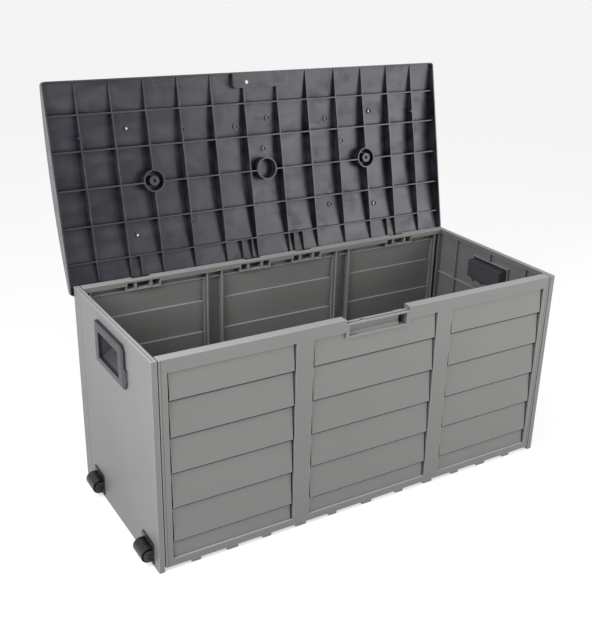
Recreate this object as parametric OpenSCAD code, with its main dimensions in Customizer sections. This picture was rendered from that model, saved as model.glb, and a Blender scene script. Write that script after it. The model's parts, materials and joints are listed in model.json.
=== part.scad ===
// Deck storage box: a flat-pack box of moulded panels with a hinged lid, standing open.
// Millimetres. X runs along the box, Y from the front to the back, Z up.
// The origin is on the ground, in the middle of the box's footprint.

/* [Box] */
// Length of the box over its end panels
body_w = 1100; // [1060:5:1160]
// Depth of the box over its front and back panels
body_d = 468; // [440:2:500]
// Height of the rim above the ground
body_h = 510; // [508:1:540]
// Thickness of every moulded wall and rib
wall = 3; // [2.5:0.25:3.5]
// Depth of the rim on the front and back panels
rim_d = 24; // [22:1:27]
// Depth of the rim and posts on the end panels
end_t = 13; // [13:1:16]
// Clearance under the front and back panels
skirt_gap = 10; // [9:1:12]

/* [Boards] */
// Height of one lapped board
board_pitch = 86; // [84:1:88]
// Height of the lowest board edge above the ground
board_edge_z = 72; // [70:1:76]
// How far a board stands back at its lower edge
board_low = 1; // [0.5:0.25:2]
// How far a board stands back at its upper edge
board_high = 8; // [6:0.5:9]
// Half width of the middle bay
bay_half = 172; // [160:4:184]
// Width of the two posts between the bays
mullion_w = 44; // [36:2:48]
// Width of the plain margin at each end of a panel
stile_w = 18; // [16:1:20]

/* [Lid] */
// Length of the lid
lid_w = 1116; // [1080:4:1180]
// Distance from the lid's front edge to its rear edge
lid_d = 492; // [470:2:516]
// Rise of the crowned lid from its edges to its middle
crown = 25; // [15:1:30]
// Angle that the lid has turned through when it leans open
open_angle = 102; // [90:1:103]

/* [Hinges] */
// Height of the hinge line above the ground
hinge_z = 497; // [496:0.5:498]
// Distance of the hinge line in front of the panel's back face
hinge_inset = 2; // [1:0.5:3]
// Radius of the hinge pins
pin_r = 3; // [2.5:0.25:3]

/* [Handles] */
// Middle of the handles, measured from the middle of the box
handle_y = -5; // [-20:1:20]
// Length of the finger opening
grip_w = 122; // [100:2:126]
// Depth of the finger cup inside the panel
cup_depth = 32; // [24:1:34]

/* [Rollers] */
// Radius of the transport rollers
roller_r = 18.5; // [16:0.5:19]
// Half the length of a roller
roller_half = 25; // [20:1:25]
// Height of the roller axles
roller_z = 31.5; // [30:0.5:34]
// Distance of the roller axles outside the end panel
roller_out = 9.5; // [9:0.5:12]

/* [Hidden] */
$fn = 64;

eps = 0.1;
run_gap = 0.05;                       // radial running clearance of a pin in its bore
half_w = body_w / 2;
half_d = body_d / 2;

// front and back panels
seam = 3;                             // gap between a panel's face and the end panel
panel_half = half_w - end_t - seam;
bay_out = panel_half - stile_w;       // outer edge of the outer bays
bay_in = bay_half + mullion_w;        // inner edge of the outer bays
rail_z = body_h - 30;                 // underside of the top rail
sill_z = skirt_gap + 18;              // top of the bottom rail
board_count = 6;
board_slope = (board_high - board_low) / board_pitch;
rib_d = 21;                           // depth of the upright stiffening ribs
rim_lip_z = body_h - 12;              // lower edge of the rim's inner lip
shelf_z = skirt_gap + wall;           // top of the ledge that carries the floor
shelf_d = 30;                         // depth of that ledge
tongue_w = 11;                        // tongue that slides into the end panel's channel
tongue_face = 5;
channel_d = 16;                       // the channel's far wall, from the panel's face
web_d = 13;                           // depth of the webs that close the boards off
strip_w = 6.5;                        // solid strip at each end of a bay of boards
strip_d = 15;
board_gap_w = 3.5;                    // upright gap between the boards and the posts
board_gap_d = 12;
bead = 5;                             // raised bead along each end of a panel
bead_line_w = 1.2;
bead_line_d = 1;

// latch in the middle of the front panel
notch_half = 88;
notch_z = body_h - 10;
lip_d = 18;                           // depth of the lip that the tongue comes down on
latch_half = 80;
latch_low_z = 469;
latch_top_z = notch_z - 4;
latch_depth = lip_d - wall;
latch_bead = 2.5;                     // level bead along the pocket's mouth
latch_drop = 1.5;                     // drop of the floor behind it
latch_ledge = 12;                     // where the floor rises again
latch_rise = 3.5;                     // height of the step at the back, over the bead
bolt_w = 14;                          // deeper bolt space at the right-hand end of the pocket
bolt_d = 33;
bolt_top_z = latch_top_z - 4;         // top of the bolt space behind the lip
lock_x = -41;
lock_y = 10 - half_d;
lock_r = 4.5;
lock_rim = 2.5;

// hinge stations
hinge_y = half_d - hinge_inset;
stations = [-385, -78, 78, 385];
slot_half = 24;                       // slot in the rim for the lid's knuckle
window_half = 42;
window_low_z = hinge_z - 10;
window_top_z = body_h - 5;
knuckle_r = 7;
knuckle_half = 15;
knuckle_rib = 14;                     // ribs either side of a knuckle, from its middle
lug_r = 6.5;
lug_in = 17;
lug_out = 23;
pin_head_r = 5;

// lid, described closed
lid_rear = hinge_y + 11;
lid_front = lid_rear - lid_d;
lid_mid = (lid_rear + lid_front) / 2;
lip_z = body_h - 8;                   // lower edge of the lid's skirt
crest_z = body_h + 0.6;               // lower edge of the lid's ribs
lid_edge_z = body_h + 4.5;            // top of the skirt at the front and the rear
lid_r = (pow(lid_d / 2, 2) + pow(crown, 2)) / (2 * crown);
lid_axis_z = lid_edge_z + crown - lid_r;
rib_x = [48, 138, 227, 314, 399, 482];
rib_from_rear = [72, 157, 244, 332, 415];
tongue_half = 80;
tongue_d = 39;
tongue_r = 8;                         // rounded corners of the tongue
tongue_step = 1.5;
ring_x = 313;
ring_from_rear = 247;
ring_r = 27;                          // outer radius of the side rings
middle_ring_r = 28.5;
boss_r = 12;
boss_from_rear = 362;                 // small square bosses on the outermost ribs
mark_r = 7.5;                         // raised rings left by the mould
mark_bore = 5;
mark_h = 3;
mark_floor = 0.5;                     // how far the bottom of a ring's bore stands proud of the plate
screw_hole_r = 2.75;
mould_marks = [[-219, 363], [-220, 134], [-71, 360], [22, 375], [-46, 190], [201, 361], [250, 298],
               [196, 130], [7, 298]];
screw_holes = [[-361, 376], [-365, 119], [345, 372], [342, 116]];

// end panels
end_ledge_d = 25;                     // ledge that carries the floor's ends
rim_groove = [5, 6.5];                // fine groove along the top of the rim
rim_groove_end = 6;                   // the groove stops short of the corners
groove_y = 192;                       // upright line near the back corner
groove_w = 2;
groove_depth = 0.8;
groove_z = [28, body_h - 36];
end_rib_y = [-140, 0, 140];
end_rib_z = [140, 262, 378];
end_rib_d = 9;

// handles
grip_low_z = 403;
grip_top_z = 466;
bezel_low_z = 384;
bezel_top_z = 488;
bezel_out = 8;
bezel_half = 88;
ear_half = 98;
face_half = 78;
grip_frame = 10;
cup_wall = 2.5;

// rollers
roller_y = [-176, 134];
flange_half = 33;
flange_foot = 30;                     // half width of the flange's lower part
flange_t = 3;
flange_low_z = 8;
flange_top_z = 63;
flange_corner = 6;
cheek_r = 14.5;
cheek_t = 3.5;
hub_r = 6;                            // counterbore for the axle's head
hub_d = 2;
end_ring = 2;                         // wall of the roller round its hollow ends
end_core = 7;
end_hollow = 8;
pocket_half_y = roller_half + 1;
pocket_half_z = 19.5;
pocket_wall = 2;
pocket_e = 10.2;
axle_r = 3;
axle_head_r = 4.5;
axle_head_t = 1.5;
screw_r = 1.75;
screw_z = 58.5;
screw_dy = 22;
screw_in = 2.4;                       // how far a screw reaches into the flange

// floor
floor_half_x = panel_half + 1;
floor_half_y = half_d - 22;
foot_x = [0, 100, 190, 281, 370, 460];
foot_w = [28, 22, 28, 22, 28, 22];
foot_back = 4;                        // the feet stand back from the panels' faces

// colours
grey = [0.56, 0.56, 0.54];
charcoal = [0.2, 0.2, 0.22];
dark = [0.3, 0.3, 0.33];
black = [0.1, 0.1, 0.11];
steel = [0.6, 0.6, 0.62];

function board_back(z, low) = board_low + board_slope * (z - low);
function lid_inner_z(y) = lid_axis_z + sqrt(pow(lid_r - wall, 2) - pow(y - lid_mid, 2));

// A box given by its lowest and highest corners
module block(low, high) {
    translate(low) cube([for (i = [0:2]) high[i] - low[i]]);
}

// A (Y, Z) outline drawn out along X
module along_x(x0, x1) {
    translate([x0, 0, 0]) rotate([90, 0, 90]) linear_extrude(height = x1 - x0) children();
}

// An (X, Z) outline drawn out along Y, from y0 back to y1
module along_y(y0, y1) {
    translate([0, y1, 0]) rotate([90, 0, 0]) linear_extrude(height = y1 - y0) children();
}

// A round bar along Y
module bar_y(x, z, r, y0, y1) {
    translate([x, y0, z]) rotate([-90, 0, 0]) cylinder(r = r, h = y1 - y0);
}

// A round bar along X
module bar_x(y, z, r, x0, x1) {
    translate([x0, y, z]) rotate([0, 90, 0]) cylinder(r = r, h = x1 - x0);
}

// A rectangle with rounded corners, from its half sizes
module rounded_plan(hx, hy, r) {
    square([2 * hx - 2 * r, 2 * hy], center = true);
    square([2 * hx, 2 * hy - 2 * r], center = true);
    for (sx = [-1, 1], sy = [-1, 1]) translate([sx * (hx - r), sy * (hy - r)]) circle(r = r);
}

// The same thing at the right and at the left
module both_sides() {
    children();
    mirror([1, 0, 0]) children();
}

// Local Y runs inwards from a panel's outer face
module at_front() { translate([0, -half_d, 0]) children(); }
module at_back() { mirror([0, 1, 0]) at_front() children(); }

// Local X runs inwards from the end panel's outer face
module at_right() { translate([half_w, 0, 0]) mirror([1, 0, 0]) children(); }
module at_left() { translate([-half_w, 0, 0]) children(); }

// ---- front and back panels -------------------------------------------------

board_lows = [for (i = [0:board_count - 1]) board_edge_z + board_pitch * (i - 1)];

// The weather side of the lapped boards, going up
board_face = [for (low = board_lows, z = [max(low, sill_z), min(low + board_pitch, rail_z)])
              [board_back(z, low), z]];

// The lapped boards as one folded skin
module board_skin(x0, x1) {
    inner = [for (low = board_lows, z = [max(low + wall, sill_z), min(low + board_pitch + wall, rail_z)])
             [board_back(z - wall, low) + wall, z]];
    last = len(inner) - 1;
    along_x(x0, x1) polygon(concat(board_face, [for (i = [last:-1:0]) inner[i]]));
}

// A bay of boards, closed off at each end by a solid strip with an upright gap in it
module board_bay(x0, x1) {
    difference() {
        union() {
            board_skin(x0 - eps, x1 + eps);
            for (x = [x0 - eps, x1 + eps - strip_w])
                along_x(x, x + strip_w) polygon(concat(board_face, [[strip_d, rail_z], [strip_d, sill_z]]));
        }
        for (x = [x0, x1 - board_gap_w])
            block([x, -1, sill_z], [x + board_gap_w, board_gap_d, rail_z]);
    }
}

module wall_panel() {
    // rails, with the webs that close the boards off
    block([-panel_half, 0, rail_z], [panel_half, wall, body_h]);
    block([-panel_half, 0, rail_z], [panel_half, web_d, rail_z + wall]);
    block([-panel_half, 0, skirt_gap], [panel_half, wall, sill_z]);
    block([-panel_half, 0, sill_z - wall], [panel_half, web_d, sill_z]);
    // rim and ledge
    block([-panel_half, 0, body_h - wall], [panel_half, rim_d, body_h]);
    block([-panel_half, rim_d - wall, rim_lip_z], [panel_half, rim_d, body_h]);
    block([-panel_half, 0, skirt_gap], [panel_half, shelf_d, shelf_z]);
    // margins, posts, stiffening ribs and tongues
    both_sides() {
        block([bay_out, 0, skirt_gap], [panel_half, wall, body_h]);
        block([bay_half, 0, skirt_gap], [bay_in, wall, body_h]);
        for (x = [bay_half, bay_in - wall, bay_out, panel_half - wall])
            block([x, 0, skirt_gap], [x + wall, rib_d, body_h - wall]);
        block([panel_half - eps, tongue_face, skirt_gap], [panel_half + tongue_w, channel_d, body_h - wall]);
        board_bay(bay_in, bay_out);
    }
    board_bay(-bay_half, bay_half);
}

// Shallow lines that set off the beads along both ends
module bead_lines() {
    both_sides()
        translate([panel_half - bead, 0, (skirt_gap + body_h) / 2])
            cube([bead_line_w, 2 * bead_line_d, body_h], center = true);
}

module latch_block() {
    block([-notch_half, 0, latch_low_z - latch_drop - wall], [notch_half, lip_d, notch_z]);
    block([latch_half - bolt_w - wall, board_high, latch_low_z - latch_drop - wall],
          [notch_half, bolt_d + wall, bolt_top_z]);
    both_sides() block([notch_half, 0, rail_z], [notch_half + wall, rim_d, body_h]);
    translate([lock_x, lock_y + half_d, notch_z - eps]) cylinder(r = lock_r + lock_rim, h = 1 + eps);
}

module latch_space() {
    floor_z = latch_low_z - latch_drop;
    step_z = latch_low_z + latch_rise;
    along_x(-latch_half, latch_half)
        polygon([[-1, latch_low_z], [latch_bead, latch_low_z], [latch_bead + 1, floor_z], [latch_ledge, floor_z],
                 [latch_depth - 1, step_z], [latch_depth, step_z], [latch_depth, latch_top_z], [-1, latch_top_z]]);
    block([latch_half - bolt_w, latch_bead + 1, floor_z], [latch_half, lip_d - wall / 2, latch_top_z]);
    block([latch_half - bolt_w, lip_d - wall, floor_z], [latch_half, bolt_d, bolt_top_z - wall]);
    translate([lock_x, lock_y + half_d, latch_top_z - 1]) cylinder(r = lock_r, h = body_h - latch_top_z);
}

// The gap in the rim for the lid's tongue, open to the inside behind the lip
module notch_space() {
    block([-notch_half, -1, notch_z], [notch_half, rim_d + 1, body_h + 1]);
    block([-notch_half, lip_d, rim_lip_z - 1], [notch_half, rim_d + 1, body_h + 1]);
}

module front_panel() {
    color(grey) at_front() difference() {
        union() {
            difference() {
                wall_panel();
                bead_lines();
                notch_space();
            }
            latch_block();
        }
        latch_space();
    }
}

// The frame round a hinge's window, in the panel's own frame
module hinge_frame(x) {
    translate([x, 0, 0]) {
        block([-window_half - wall, 0, window_low_z - wall], [window_half + wall, rib_d, window_low_z]);
        both_sides()
            block([window_half, 0, window_low_z - eps], [window_half + wall, rib_d, body_h - wall + eps]);
    }
}

module hinge_space(x) {
    translate([x, 0, 0]) {
        block([-window_half, -1, window_low_z], [window_half, rim_d + 1, window_top_z]);
        block([-slot_half, -1, window_low_z], [slot_half, hinge_inset + knuckle_r, body_h + 1]);
    }
}

// The pair of lugs that carry a pin, placed in the box's frame
module hinge_lugs(x) {
    inner_y = half_d - rim_d + wall;
    translate([x, 0, 0]) both_sides() difference() {
        union() {
            bar_x(hinge_y, hinge_z, lug_r, lug_in, lug_out);
            block([lug_in, inner_y, window_low_z - eps], [lug_out, hinge_y, hinge_z + lug_r]);
            block([lug_in, inner_y, window_low_z - eps], [lug_out, hinge_y - knuckle_r, body_h - wall + eps]);
        }
        bar_x(hinge_y, hinge_z, pin_r, 0, lug_out + 1);
    }
}

module back_panel() {
    color(grey) union() {
        at_back() difference() {
            union() {
                wall_panel();
                for (x = stations) hinge_frame(x);
            }
            bead_lines();
            for (x = stations) hinge_space(x);
        }
        for (x = stations) hinge_lugs(x);
    }
}

// ---- end panels --------------------------------------------------------------

module end_panel_solid() {
    block([0, -half_d, 0], [wall, half_d, body_h]);
    // rim with its inner lip
    block([0, -half_d, body_h - wall], [end_t, half_d, body_h]);
    block([end_t - wall, -half_d + channel_d, rim_lip_z], [end_t, half_d - channel_d, body_h]);
    // foot and the ledge that carries the floor
    block([0, -half_d, 0], [end_t, half_d, wall]);
    block([0, shelf_d - half_d + 1, skirt_gap], [end_ledge_d, half_d - shelf_d - 1, shelf_z]);
    // corner posts, each with a channel for the neighbouring panel's tongue
    for (side = [-1, 1], depth = [0, channel_d])
        translate([end_t / 2, side * (half_d - depth - wall / 2), body_h / 2])
            cube([end_t, wall, body_h], center = true);
    for (y = end_rib_y) block([0, y - wall / 2, 0], [wall + end_rib_d, y + wall / 2, body_h - wall]);
    for (z = end_rib_z) block([0, channel_d - half_d, z], [wall + end_rib_d, half_d - channel_d, z + wall]);
    // frame around the handle's opening
    block([0, handle_y - grip_w / 2 - grip_frame, grip_low_z - grip_frame],
          [wall + end_rib_d, handle_y + grip_w / 2 + grip_frame, grip_top_z + grip_frame]);
}

module handle_hole() {
    clear = cup_wall + 0.5;
    room = grip_frame - wall;
    block([-1, handle_y - grip_w / 2 - clear, grip_low_z - clear],
          [wall + 1, handle_y + grip_w / 2 + clear, grip_top_z + clear]);
    block([wall, handle_y - grip_w / 2 - room, grip_low_z - room],
          [end_t + 1, handle_y + grip_w / 2 + room, grip_top_z + room]);
}

module end_panel_cuts() {
    handle_hole();
    block([rim_groove[0], rim_groove_end - half_d, body_h - 1], [rim_groove[1], half_d - rim_groove_end, body_h + 1]);
    block([-1, groove_y, groove_z[0]], [groove_depth, groove_y + groove_w, groove_z[1]]);
}

module roller_hole(y) {
    side_y = pocket_half_y + pocket_wall + 0.5;
    side_z = pocket_half_z + pocket_wall + 0.5;
    block([-1, y - side_y, roller_z - side_z], [pocket_e + pocket_wall + 0.3, y + side_y, roller_z + side_z]);
    for (s = [-1, 1]) bar_x(y + s * screw_dy, screw_z, screw_r + 0.25, -1, wall + 1);
}

module left_end_panel() {
    color(grey) at_left() difference() {
        end_panel_solid();
        end_panel_cuts();
        for (y = roller_y) roller_hole(y);
    }
}

module right_end_panel() {
    color(grey) at_right() difference() {
        end_panel_solid();
        end_panel_cuts();
    }
}

// ---- floor -------------------------------------------------------------------

module floor_panel() {
    rib_y = half_d - shelf_d;
    foot_y = half_d - foot_back;
    color(grey) difference() {
        union() {
            block([-floor_half_x, -floor_half_y, shelf_z], [floor_half_x, floor_half_y, shelf_z + wall]);
            both_sides() for (i = [0:len(foot_x) - 1]) {
                block([foot_x[i] - foot_w[i] / 2, -rib_y, 0], [foot_x[i] + foot_w[i] / 2, rib_y, shelf_z + eps]);
                block([foot_x[i] - foot_w[i] / 2, -foot_y, 0], [foot_x[i] + foot_w[i] / 2, foot_y, skirt_gap]);
            }
        }
        both_sides() for (i = [0:len(foot_x) - 1])
            block([foot_x[i] - foot_w[i] / 2 + wall, wall - rib_y, wall],
                  [foot_x[i] + foot_w[i] / 2 - wall, rib_y - wall, shelf_z + wall + 1]);
    }
}

// ---- lid, drawn closed and then turned open -------------------------------------

module turned_open() {
    translate([0, hinge_y, hinge_z]) rotate([-open_angle, 0, 0]) translate([0, -hinge_y, -hinge_z]) children();
}

// The crowned plate is part of a very large drum lying along X
module lid_drum(r) {
    bar_x(lid_mid, lid_axis_z, r, -lid_w, lid_w, $fn = 1080);
}

module lid_outer() {
    intersection() {
        translate([0, lid_mid, lip_z]) linear_extrude(height = 60) rounded_plan(lid_w / 2, lid_d / 2, 9);
        lid_drum(lid_r);
    }
}

module lid_inner() {
    intersection() {
        translate([0, lid_mid, lip_z - 1]) linear_extrude(height = 61)
            rounded_plan(lid_w / 2 - wall, lid_d / 2 - wall, 6);
        lid_drum(lid_r - wall);
    }
}

// Everything moulded under the lid's plate, before it is trimmed to the lid's outline
module lid_ribs() {
    top = lid_edge_z + crown;
    ring_y = lid_rear - ring_from_rear;
    difference() {
        union() {
            for (s = [-1, 1], x = rib_x)
                block([s * x - wall / 2, lid_front + 1, crest_z], [s * x + wall / 2, lid_rear - 1, top]);
            for (s = rib_from_rear)
                block([-lid_w / 2 + 1, lid_rear - s - wall / 2, crest_z], [lid_w / 2 - 1, lid_rear - s + wall / 2, top]);
            for (x = stations, s = [-1, 1])
                block([x + s * knuckle_rib - wall / 2, lid_rear - rib_from_rear[0], crest_z],
                      [x + s * knuckle_rib + wall / 2, lid_rear - 1, top]);
        }
        translate([0, ring_y, lip_z]) cylinder(r = middle_ring_r - wall / 2, h = 60);
        both_sides() translate([ring_x, ring_y, lip_z]) cylinder(r = ring_r - wall / 2, h = 60);
        translate([0, lid_front + tongue_d / 2, lip_z]) cube([2 * tongue_half, tongue_d, 200], center = true);
    }
    translate([0, ring_y, crest_z]) difference() {
        cylinder(r = middle_ring_r, h = top - crest_z);
        translate([0, 0, -1]) cylinder(r = middle_ring_r - wall, h = top);
    }
    both_sides() translate([ring_x, ring_y, crest_z]) difference() {
        cylinder(r = ring_r, h = top - crest_z);
        difference() {
            translate([0, 0, -1]) cylinder(r = ring_r - wall, h = top);
            cylinder(r = boss_r, h = top);
        }
        translate([0, 0, -1]) cylinder(r = 4, h = 8);
    }
    both_sides() translate([rib_x[5], lid_rear - boss_from_rear, crest_z]) cylinder(r = 6, h = top - crest_z, $fn = 4);
    for (m = concat(mould_marks, screw_holes)) mould_mark(m[0], lid_rear - m[1]);
}

module mould_mark(x, y) {
    translate([x, y, lid_inner_z(y) - mark_h]) difference() {
        cylinder(r = mark_r, h = mark_h + wall / 2);
        translate([0, 0, -1]) cylinder(r = mark_bore, h = mark_h + 1 - mark_floor);
    }
}

// Outline of the latch tongue, drawn in by inset, with its two free corners rounded
module tongue_plan(inset) {
    beyond = 20;
    intersection() {
        translate([0, (tongue_d - beyond) / 2])
            rounded_plan(tongue_half - inset, (tongue_d + beyond) / 2 - inset, tongue_r - inset);
        translate([-tongue_half, 0]) square([2 * tongue_half, tongue_d]);
    }
}

// The latch tongue: a shallow tray let into the front edge of the lid, with a step round its face
module tongue_tray() {
    translate([0, lid_front, lip_z]) {
        linear_extrude(height = 40) tongue_plan(tongue_step);
        translate([0, 0, tongue_step]) linear_extrude(height = 40) tongue_plan(0);
    }
}

module tongue_space() {
    translate([0, lid_front, lip_z + wall]) intersection() {
        linear_extrude(height = 60) tongue_plan(wall);
        block([-tongue_half, wall, 0], [tongue_half, tongue_d, 60]);
    }
}

module knuckle_arm(x) {
    along_x(x - knuckle_half, x + knuckle_half)
        translate([hinge_y, hinge_z])
            polygon([[-2, 5], [-2, 20], [8.5, 20], [8.5, 5], [knuckle_r - 0.5, 0], [0, -2], [-knuckle_r + 1.5, 0]]);
}

module lid() {
    color(charcoal) turned_open() difference() {
        union() {
            difference() {
                lid_outer();
                lid_inner();
            }
            intersection() {
                union() {
                    lid_ribs();
                    tongue_tray();
                }
                lid_drum(lid_r - 0.5);
            }
            intersection() {
                for (x = stations) knuckle_arm(x);
                lid_drum(lid_r - 0.5);
            }
            for (x = stations) bar_x(hinge_y, hinge_z, knuckle_r, x - knuckle_half, x + knuckle_half);
        }
        tongue_space();
        translate([lock_x, lock_y, lip_z - 1]) cylinder(r = lock_r, h = wall + 2);
        for (m = screw_holes) translate([m[0], lid_rear - m[1], lip_z]) cylinder(r = screw_hole_r, h = 60);
        for (x = stations) bar_x(hinge_y, hinge_z, pin_r + run_gap, x - knuckle_half - 1, x + knuckle_half + 1);
    }
}

module hinge_pin(x) {
    color(steel) union() {
        bar_x(hinge_y, hinge_z, pin_r, x - lug_out, x + lug_out);
        bar_x(hinge_y, hinge_z, pin_head_r, x - lug_out - 2, x - lug_out);
    }
}

// ---- handles -------------------------------------------------------------------

// Outline of the bezel against the panel, (Y, Z)
bezel_side = [[80, bezel_low_z], [bezel_half + 2, 392], [ear_half, 410], [ear_half, 430], [bezel_half, 436],
              [bezel_half, bezel_top_z - 11], [face_half, bezel_top_z]];

module bezel_outline() {
    last = len(bezel_side) - 1;
    polygon(concat([for (p = bezel_side) [handle_y + p[0], p[1]]],
                   [for (i = [last:-1:0]) [handle_y - bezel_side[i][0], bezel_side[i][1]]]));
}

// Cross-section of the bezel's slopes, across its width
module bezel_section_y() {
    polygon([[0, handle_y - ear_half], [0, handle_y + ear_half], [-4, handle_y + ear_half - 3],
             [-bezel_out, handle_y + face_half], [-bezel_out, handle_y - face_half],
             [-4, handle_y - ear_half + 3]]);
}

// Cross-section of the bezel's slopes, up its height: (X, Z)
module bezel_section_z() {
    polygon([[0, bezel_low_z], [0, bezel_top_z], [-bezel_out + 2, bezel_top_z], [-bezel_out, bezel_top_z - 2],
             [-bezel_out, bezel_low_z + 7], [-4, bezel_low_z]]);
}

module handle_solid() {
    wide = grip_w / 2 + cup_wall;
    intersection() {
        along_x(-bezel_out, 0) bezel_outline();
        linear_extrude(height = body_h) bezel_section_y();
        along_y(handle_y - ear_half, handle_y + ear_half) bezel_section_z();
    }
    // cup with a sloping floor
    along_y(handle_y - wide, handle_y + wide)
        polygon([[-1, grip_low_z - cup_wall], [-1, grip_top_z + cup_wall], [cup_depth + cup_wall, grip_top_z + cup_wall],
                 [cup_depth + cup_wall, grip_low_z + 19], [wall + 1, grip_low_z - cup_wall]]);
    // snap hooks behind the panel's skin
    for (s = [-1, 1]) {
        block([wall, handle_y + s * 36 - 7, grip_top_z], [wall + 3, handle_y + s * 36 + 7, grip_top_z + cup_wall + 3]);
        block([wall, handle_y + s * 36 - 7, grip_low_z - cup_wall - 3], [wall + 3, handle_y + s * 36 + 7, grip_low_z]);
    }
}

module handle_space() {
    along_y(handle_y - grip_w / 2, handle_y + grip_w / 2)
        polygon([[-bezel_out - 1, grip_low_z], [-bezel_out - 1, grip_top_z], [cup_depth, grip_top_z],
                 [cup_depth, grip_low_z + 21], [wall, grip_low_z + 1]]);
}

module handle() {
    difference() {
        handle_solid();
        handle_space();
    }
}

module left_handle() { color(dark) at_left() handle(); }
module right_handle() { color(dark) at_right() handle(); }

// ---- rollers, at the left end -----------------------------------------------------

module flange_outline(y) {
    waist_z = 40;
    shoulder_z = 48;
    r = flange_corner;
    polygon([[y - flange_foot, flange_low_z], [y + flange_foot, flange_low_z], [y + flange_foot, waist_z],
             [y + flange_half, shoulder_z], [y + flange_half, flange_top_z - r], [y + flange_half - r, flange_top_z],
             [y - flange_half + r, flange_top_z], [y - flange_half, flange_top_z - r],
             [y - flange_half, shoulder_z], [y - flange_foot, waist_z]]);
    for (s = [-1, 1]) translate([y + s * (flange_half - r), flange_top_z - r]) circle(r = r);
}

// The two round cheeks that hold the axle, cut off at the flange
module roller_cheeks(y) {
    intersection() {
        for (s = [-1, 1])
            translate([0, y + s * (pocket_half_y + cheek_t / 2), 0])
                bar_y(-roller_out, roller_z, cheek_r, -cheek_t / 2, cheek_t / 2);
        block([-roller_out - cheek_r, y - flange_half, 0], [-1, y + flange_half, body_h]);
    }
}

module roller_bracket(y) {
    reach = pocket_half_y + cheek_t;
    color(black) at_left() difference() {
        union() {
            along_x(-flange_t, 0) flange_outline(y);
            block([-eps, y - pocket_half_y - pocket_wall, roller_z - pocket_half_z - pocket_wall],
                  [pocket_e + pocket_wall, y + pocket_half_y + pocket_wall, roller_z + pocket_half_z + pocket_wall]);
            roller_cheeks(y);
        }
        block([-roller_out - cheek_r - 1, y - pocket_half_y, roller_z - pocket_half_z],
              [pocket_e, y + pocket_half_y, roller_z + pocket_half_z]);
        bar_y(-roller_out, roller_z, axle_r, y - reach - 1, y + reach + 1);
        bar_y(-roller_out, roller_z, hub_r, y - reach - 1, y - reach + hub_d);
        bar_y(-roller_out, roller_z, hub_r, y + reach - hub_d, y + reach + 1);
        for (s = [-1, 1]) bar_x(y + s * screw_dy, screw_z, screw_r, -screw_in, 1);
    }
}

// A barrel with hollow ends
module roller(y) {
    color(black) at_left() difference() {
        bar_y(-roller_out, roller_z, roller_r, y - roller_half, y + roller_half);
        bar_y(-roller_out, roller_z, axle_r + run_gap, y - roller_half - 1, y + roller_half + 1);
        for (y0 = [y - roller_half - 1, y + roller_half - end_hollow]) difference() {
            bar_y(-roller_out, roller_z, roller_r - end_ring, y0, y0 + end_hollow + 1);
            bar_y(-roller_out, roller_z, end_core, y0 - 1, y0 + end_hollow + 2);
        }
    }
}

module roller_axle(y) {
    reach = pocket_half_y + cheek_t - hub_d;
    color(black) at_left() union() {
        bar_y(-roller_out, roller_z, axle_r, y - reach, y + reach + axle_head_t);
        bar_y(-roller_out, roller_z, axle_head_r, y - reach - axle_head_t, y - reach);
    }
}

module bracket_screws(y) {
    color(steel) at_left() for (s = [-1, 1]) {
        bar_x(y + s * screw_dy, screw_z, screw_r, -screw_in, wall);
        bar_x(y + s * screw_dy, screw_z, screw_r + 1.75, wall, wall + 2);
    }
}

front_panel();
back_panel();
left_end_panel();
right_end_panel();
floor_panel();
lid();
left_handle();
right_handle();
roller_bracket(roller_y[0]);  // roller_bracket_front
roller_bracket(roller_y[1]);  // roller_bracket_rear
roller(roller_y[0]);  // roller_front
roller(roller_y[1]);  // roller_rear
roller_axle(roller_y[0]);  // roller_axle_front
roller_axle(roller_y[1]);  // roller_axle_rear
bracket_screws(roller_y[0]);  // bracket_screws_front
bracket_screws(roller_y[1]);  // bracket_screws_rear
hinge_pin(stations[0]);  // hinge_pin_1
hinge_pin(stations[1]);  // hinge_pin_2
hinge_pin(stations[2]);  // hinge_pin_3
hinge_pin(stations[3]);  // hinge_pin_4
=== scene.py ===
"""Deck storage box: looks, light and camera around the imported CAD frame.

Lengths are in metres. +X runs along the box, +Y to its back and +Z up.
"""
import json
import math

import bpy
from mathutils import Matrix, Vector

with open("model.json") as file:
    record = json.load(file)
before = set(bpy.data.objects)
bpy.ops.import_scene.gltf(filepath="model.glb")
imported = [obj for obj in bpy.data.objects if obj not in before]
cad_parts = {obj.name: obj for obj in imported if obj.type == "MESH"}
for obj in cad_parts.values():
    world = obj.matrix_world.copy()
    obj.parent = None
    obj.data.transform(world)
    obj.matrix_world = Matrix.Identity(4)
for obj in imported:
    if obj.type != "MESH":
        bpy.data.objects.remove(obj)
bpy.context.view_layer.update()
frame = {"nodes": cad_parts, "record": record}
nodes = frame["nodes"]


# ---- camera, floor and light --------------------------------------------------------

CAMERA_AT = (-1.1504, -1.7790, 1.2989)
CAMERA_YAW = math.radians(33.1675)    # from +Y towards +X
CAMERA_PITCH = math.radians(-23.1484)
CAMERA_ROLL = math.radians(2.2214)
SENSOR = 36.0
LENS = 53.324
SHIFT = (-0.0500, 0.0230)
VIEW_END = 200

FLOOR_SIZE = 80
FLOOR_TONE = (0.55, 0.55, 0.55)
FLOOR_ROUGHNESS = 0.9
FLOOR_GLOW = 0.5

WHITE = (1, 1, 1)
SKY_STRENGTH = 0.69
# name, place, aim, size in two directions, power in watts, colour
LIGHTS = [
    ("left", (-1.75, -0.6, 1.4), (-0.5, -0.15, 0.4), (0.9, 0.9), 35, (0.95, 0.97, 1)),
    ("right", (1.9, -1.8, 1.1), (0.3, 0.2, 0.5), (1.9, 1.4), 41, (1, 0.985, 0.96)),
]


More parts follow.
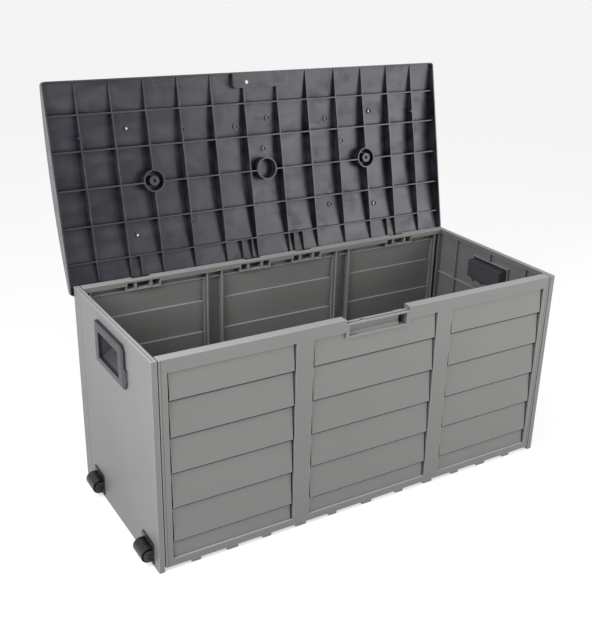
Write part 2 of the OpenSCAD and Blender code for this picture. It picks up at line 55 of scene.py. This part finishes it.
def make_camera():
    data = bpy.data.cameras.new("camera")
    data.sensor_width = SENSOR
    data.lens = LENS
    data.shift_x, data.shift_y = SHIFT
    data.clip_end = VIEW_END
    camera = bpy.data.objects.new("camera", data)
    bpy.context.scene.collection.objects.link(camera)
    yaw = Matrix.Rotation(-CAMERA_YAW, 4, "Z")
    pitch = Matrix.Rotation(math.pi / 2 + CAMERA_PITCH, 4, "X")
    roll = Matrix.Rotation(CAMERA_ROLL, 4, "Z")
    camera.matrix_world = Matrix.Translation(CAMERA_AT) @ yaw @ pitch @ roll
    bpy.context.scene.camera = camera


def make_floor():
    """A pale studio table, lit a little from inside, so that shadows on it stay light."""
    bpy.ops.mesh.primitive_plane_add(size=FLOOR_SIZE, location=(0, 0, 0))
    floor = bpy.context.object
    floor.name = "floor"
    paint, _, shader = new_material("floor_paint", FLOOR_TONE, FLOOR_ROUGHNESS)
    shader.inputs["Emission Color"].default_value = (*WHITE, 1)
    shader.inputs["Emission Strength"].default_value = FLOOR_GLOW
    floor.data.materials.append(paint)


def area_light(name, at, target, size, power, colour):
    data = bpy.data.lights.new(name, "AREA")
    data.color = colour
    data.shape = "RECTANGLE"
    data.size, data.size_y = size
    data.energy = power
    light = bpy.data.objects.new(name, data)
    bpy.context.scene.collection.objects.link(light)
    light.location = at
    light.rotation_euler = (Vector(target) - Vector(at)).to_track_quat("-Z", "Y").to_euler()


def make_light():
    scene = bpy.context.scene
    scene.view_settings.view_transform = "Standard"
    world = bpy.data.worlds.new("studio")
    world.use_nodes = True
    sky = world.node_tree.nodes["Background"]
    sky.inputs["Color"].default_value = (*WHITE, 1)
    sky.inputs["Strength"].default_value = SKY_STRENGTH
    scene.world = world
    for light in LIGHTS:
        area_light(*light)


# ---- the pieces' edges --------------------------------------------------------------

WELD_DISTANCE = 1e-5
FLAT_ANGLE = math.radians(0.6)     # triangles this level with each other become one face
SHARP_ANGLE = math.radians(35)     # edges sharper than this are rounded
BEVEL_SEGMENTS = 2


def dress(name, material, bevel):
    """Give a CAD piece its material and small round edges."""
    node = nodes[name]
    node.data.materials.clear()
    node.data.materials.append(material)
    weld = node.modifiers.new("weld", "WELD")
    weld.merge_threshold = WELD_DISTANCE
    flat = node.modifiers.new("flat", "DECIMATE")
    flat.decimate_type = "DISSOLVE"
    flat.angle_limit = FLAT_ANGLE
    round_off = node.modifiers.new("round", "BEVEL")
    round_off.width = bevel
    round_off.segments = BEVEL_SEGMENTS
    round_off.limit_method = "ANGLE"
    round_off.angle_limit = SHARP_ANGLE
    node.modifiers.new("smooth", "WEIGHTED_NORMAL")


# ---- shader building blocks ---------------------------------------------------------

SHELTER_SAMPLES = 6


def new_material(name, colour, roughness):
    """A material of one colour and roughness, which layers may cover, with its tree and shader."""
    material = bpy.data.materials.new(name)
    material.use_nodes = True
    tree = material.node_tree
    shader = tree.nodes["Principled BSDF"]
    shader.inputs["Base Color"].default_value = (*colour, 1)
    shader.inputs["Roughness"].default_value = roughness
    return material, tree, shader


def noise(tree, scale, detail=2, stretch=(1, 1, 1), distortion=0):
    """Noise over the piece's own coordinates, with features about 1 / (scale * stretch) apart."""
    place = tree.nodes.new("ShaderNodeTexCoord")
    mapping = tree.nodes.new("ShaderNodeMapping")
    mapping.inputs["Scale"].default_value = stretch
    tree.links.new(place.outputs["Object"], mapping.inputs["Vector"])
    node = tree.nodes.new("ShaderNodeTexNoise")
    node.inputs["Scale"].default_value = scale
    node.inputs["Detail"].default_value = detail
    node.inputs["Distortion"].default_value = distortion
    tree.links.new(mapping.outputs["Vector"], node.inputs["Vector"])
    return node.outputs["Fac"]


def remap(tree, value, low, high, to_low, to_high):
    node = tree.nodes.new("ShaderNodeMapRange")
    node.inputs["From Min"].default_value = low
    node.inputs["From Max"].default_value = high
    node.inputs["To Min"].default_value = to_low
    node.inputs["To Max"].default_value = to_high
    tree.links.new(value, node.inputs["Value"])
    return node.outputs["Result"]


def rise(tree, value, low, high):
    """0 up to low, 1 from high on."""
    return remap(tree, value, low, high, 0, 1)


def fall(tree, value, low, high):
    """1 up to low, 0 from high on."""
    return remap(tree, value, low, high, 1, 0)


def math_node(tree, operation, a, b=0):
    node = tree.nodes.new("ShaderNodeMath")
    node.operation = operation
    for socket, value in zip(node.inputs, (a, b)):
        if isinstance(value, (int, float)):
            socket.default_value = value
        else:
            tree.links.new(value, socket)
    return node.outputs["Value"]


def blend(tree, factor, first, second):
    """The first colour where the factor is 0, the second where it is 1."""
    node = tree.nodes.new("ShaderNodeMix")
    node.data_type = "RGBA"
    sockets = [socket for socket in node.inputs if socket.type == "RGBA"]
    tree.links.new(factor, node.inputs["Factor"])
    for socket, value in zip(sockets, (first, second)):
        if isinstance(value, tuple):
            socket.default_value = (*value, 1)
        else:
            tree.links.new(value, socket)
    return next(socket for socket in node.outputs if socket.type == "RGBA")


def layer(tree, below, mask, strength, colour):
    """Lay a colour over the one below, as far as the mask and the strength say."""
    return blend(tree, math_node(tree, "MULTIPLY", mask, strength), below, colour)


def bump(tree, height, strength, distance, before=None):
    node = tree.nodes.new("ShaderNodeBump")
    node.inputs["Strength"].default_value = strength
    node.inputs["Distance"].default_value = distance
    tree.links.new(height, node.inputs["Height"])
    if before:
        tree.links.new(before, node.inputs["Normal"])
    return node.outputs["Normal"]


# ---- masks --------------------------------------------------------------------------

# lapped boards of the front and back panels
BOARD_EDGE = 0.072       # height of the lowest board's lower edge
BOARD_PITCH = 0.086
PANEL_FACE = 0.234       # from the middle of the box to the panels' faces
BAYS_END = 0.52          # from the middle of the box to the end of the boards
LAP_BAND = (0.905, 0.93)        # where the painted shadow starts and is full, as a share of a board
LAP_SET_BACK = (0.0045, 0.006)  # depth behind the panel's face at which it starts
LAP_BOTTOM = (0.0082, 0.009)    # and at which it stops
SOFT_EDGE = 0.001


def axes(tree, source="Object"):
    """The X, Y and Z of a point, or of its Normal, both in the piece's own frame."""
    split = tree.nodes.new("ShaderNodeSeparateXYZ")
    node = tree.nodes.new("ShaderNodeTexCoord")
    tree.links.new(node.outputs[source], split.inputs["Vector"])
    return [split.outputs[name] for name in "XYZ"]


def from_middle(tree, position):
    return math_node(tree, "ABSOLUTE", position)


def openness(tree, width, inside):
    """1 in the open, towards 0 in a crease, or, with inside, near an edge that sticks out."""
    node = tree.nodes.new("ShaderNodeAmbientOcclusion")
    node.inside = inside
    node.only_local = True
    node.samples = SHELTER_SAMPLES
    node.inputs["Distance"].default_value = width
    return node.outputs["AO"]


# painted highlight: a mask of edges that stick out, which the materials paint lighter as if they
# caught the light
def edge_highlights(tree, width):
    return fall(tree, openness(tree, width, True), 0.45, 0.75)


def creases(tree, width):
    return fall(tree, openness(tree, width, False), 0.35, 0.75)


def narrow_gaps(tree, width):
    return fall(tree, openness(tree, width, False), 0.15, 0.46)


def facing_up(tree):
    return rise(tree, axes(tree, "Normal")[2], 0.4, 0.9)


def lap_shadows(tree):
    """Painted shadow: the top of each lapped board, under the edge of the next one."""
    x, y, z = axes(tree)
    above_edge = math_node(tree, "SUBTRACT", z, BOARD_EDGE)
    boards_up = math_node(tree, "DIVIDE", above_edge, BOARD_PITCH)
    up_the_board = math_node(tree, "FRACT", boards_up)
    depth = math_node(tree, "SUBTRACT", PANEL_FACE, from_middle(tree, y))
    line = rise(tree, up_the_board, *LAP_BAND)
    set_back = rise(tree, depth, *LAP_SET_BACK)
    outer_skin = fall(tree, depth, *LAP_BOTTOM)
    bays = fall(tree, from_middle(tree, x), BAYS_END, BAYS_END + SOFT_EDGE)
    mask = line
    for limit in (set_back, outer_skin, bays):
        mask = math_node(tree, "MULTIPLY", mask, limit)
    return mask


# ---- the four plastics and the steel --------------------------------------------------

SHADE_HEIGHT = 0.45                  # painted shade: the body's colour darkens from this height down to the ground
SKIRT_END = (0.5571, 0.5575)     # the outer faces of the lid's end skirts
CUP = (0.546, 0.552)             # the handles' cups lie inside this, their bezels outside


def body_plastic():
    material, tree, shader = new_material("body_plastic", (0.27, 0.27, 0.265), 0.5)
    clouds = rise(tree, noise(tree, 5, 4), 0.3, 0.7)
    streaks = rise(tree, noise(tree, 1, 3, (3, 40, 260)), 0.3, 0.7)
    low = fall(tree, axes(tree)[2], 0, SHADE_HEIGHT)
    tone = blend(tree, clouds, (0.151, 0.150, 0.144), (0.166, 0.165, 0.159))
    tone = layer(tree, tone, streaks, 0.25, (0.142, 0.141, 0.138))
    # painted shade: the colour darkens towards the ground
    tone = layer(tree, tone, low, 0.4, (0.085, 0.085, 0.087))
    # painted highlight: faces that look up are painted lighter, as if lit from above
    tone = layer(tree, tone, facing_up(tree), 0.85, (0.37, 0.37, 0.366))
    # painted highlight: outer edges painted lighter
    tone = layer(tree, tone, edge_highlights(tree, 0.0022), 0.75, (0.42, 0.42, 0.416))
    # painted shade: creases painted darker
    tone = layer(tree, tone, creases(tree, 0.0025), 0.6, (0.05, 0.05, 0.049))
    # painted shade: pockets and narrow gaps painted dark, the narrowest nearly black
    tone = layer(tree, tone, narrow_gaps(tree, 0.03), 0.5, (0.04, 0.04, 0.04))
    tone = layer(tree, tone, narrow_gaps(tree, 0.011), 0.95, (0.004, 0.004, 0.004))
    # painted shadow under each board's lapped edge
    tone = layer(tree, tone, lap_shadows(tree), 0.9, (0.012, 0.012, 0.012))
    tree.links.new(tone, shader.inputs["Base Color"])
    tree.links.new(remap(tree, clouds, 0, 1, 0.42, 0.55), shader.inputs["Roughness"])
    grooves = bump(tree, streaks, 0.2, 0.0002)
    grain = bump(tree, noise(tree, 900, 2), 0.25, 0.0003, grooves)
    tree.links.new(grain, shader.inputs["Normal"])
    return material


def lid_plastic():
    """Blue-black, smeared and with painted sheen on the ribbed inside, plain and more matte on the
    outside.
    """
    material, tree, shader = new_material("lid_plastic", (0.018, 0.019, 0.024), 0.36)
    shader.inputs["IOR"].default_value = 1.515
    shader.inputs["Specular Tint"].default_value = (0.93, 0.93, 1.0, 1)
    clouds = rise(tree, noise(tree, 9, 6), 0.40, 0.60)
    smears_and_sheen = rise(tree, noise(tree, 1, 5, (7, 24, 24), 0.5), 0.40, 0.66)
    stains = rise(tree, noise(tree, 19, 6, (1, 1, 1), 0.3), 0.54, 0.72)
    skirt_end = rise(tree, from_middle(tree, axes(tree)[0]), *SKIRT_END)
    outside = rise(tree, axes(tree, "Normal")[1], 0.3, 0.6)
    tone = blend(tree, clouds, (0.003, 0.0035, 0.007), (0.010, 0.011, 0.017))
    # smudges painted lighter, partly as real smears and partly as painted sheen
    tone = layer(tree, tone, smears_and_sheen, 0.55, (0.042, 0.043, 0.050))
    tone = layer(tree, tone, stains, 0.7, (0.002, 0.002, 0.003))
    # painted highlight: rib crests and other outer edges painted lighter
    tone = layer(tree, tone, edge_highlights(tree, 0.0017), 0.8, (0.12, 0.12, 0.13))
    # painted shade: creases painted nearly black
    tone = layer(tree, tone, creases(tree, 0.012), 0.9, (0.001, 0.001, 0.001))
    # painted highlight: the outer faces of the end skirts painted light grey, as if lit from the
    # side
    tone = layer(tree, tone, skirt_end, 0.6, (0.14, 0.14, 0.145))
    tone = blend(tree, outside, tone, (0.013, 0.0135, 0.017))
    tree.links.new(tone, shader.inputs["Base Color"])
    roughness = remap(tree, smears_and_sheen, 0, 1, 0.30, 0.41)
    for mask, extra in ((stains, 0.10), (outside, 0.28)):
        added = math_node(tree, "MULTIPLY", mask, extra)
        roughness = math_node(tree, "ADD", roughness, added)
    tree.links.new(roughness, shader.inputs["Roughness"])
    waves = bump(tree, noise(tree, 11, 2, (1, 1, 1), 0.6), 0.35, 0.004)
    grain = bump(tree, noise(tree, 700, 2), 0.2, 0.0003, waves)
    tree.links.new(grain, shader.inputs["Normal"])
    return material


def handle_plastic():
    material, tree, shader = new_material("handle_plastic", (0.1, 0.1, 0.11), 0.4)
    clouds = rise(tree, noise(tree, 12, 4), 0.3, 0.7)
    cup = fall(tree, from_middle(tree, axes(tree)[0]), *CUP)
    tone = blend(tree, clouds, (0.012, 0.012, 0.017), (0.018, 0.018, 0.024))
    # painted light: the cup inside the bezel painted lighter, to make up for the little light that
    # reaches it
    tone = blend(tree, cup, tone, (0.055, 0.055, 0.064))
    # painted highlight: outer edges painted lighter
    tone = layer(tree, tone, edge_highlights(tree, 0.0018), 0.6, (0.19, 0.19, 0.2))
    tree.links.new(tone, shader.inputs["Base Color"])
    grain = bump(tree, noise(tree, 800, 2), 0.25, 0.0003)
    tree.links.new(grain, shader.inputs["Normal"])
    return material


def roller_plastic():
    material, tree, shader = new_material("roller_plastic", (0.02, 0.02, 0.022), 0.35)
    dust = rise(tree, noise(tree, 130, 4), 0.42, 0.66)
    tone = layer(tree, (0.003, 0.003, 0.004), dust, 0.6, (0.026, 0.026, 0.028))
    # painted highlight: outer edges painted lighter
    tone = layer(tree, tone, edge_highlights(tree, 0.0012), 0.5, (0.05, 0.05, 0.051))
    tree.links.new(tone, shader.inputs["Base Color"])
    tree.links.new(remap(tree, dust, 0, 1, 0.3, 0.55), shader.inputs["Roughness"])
    grain = bump(tree, noise(tree, 500, 3), 0.3, 0.0004)
    tree.links.new(grain, shader.inputs["Normal"])
    return material


def pin_steel():
    material, tree, shader = new_material("pin_steel", (0.5, 0.5, 0.52), 0.3)
    shader.inputs["Metallic"].default_value = 1
    brushed = noise(tree, 1, 3, (60, 900, 900))
    tree.links.new(remap(tree, brushed, 0.3, 0.7, 0.22, 0.42), shader.inputs["Roughness"])
    tree.links.new(bump(tree, brushed, 0.2, 0.0002), shader.inputs["Normal"])
    return material


# ---- the scene ------------------------------------------------------------------------

# material and edge radius of each slot
FINISH = {
    "body_plastic": (body_plastic(), 0.0009),
    "lid_plastic": (lid_plastic(), 0.0008),
    "handle_plastic": (handle_plastic(), 0.001),
    "roller_plastic": (roller_plastic(), 0.0008),
    "pin_steel": (pin_steel(), 0.0005),
}

for part in frame["record"]["subparts"]:
    material, bevel = FINISH[part["material_slot"]]
    dress(part["node"], material, bevel)

make_camera()
make_floor()
make_light()
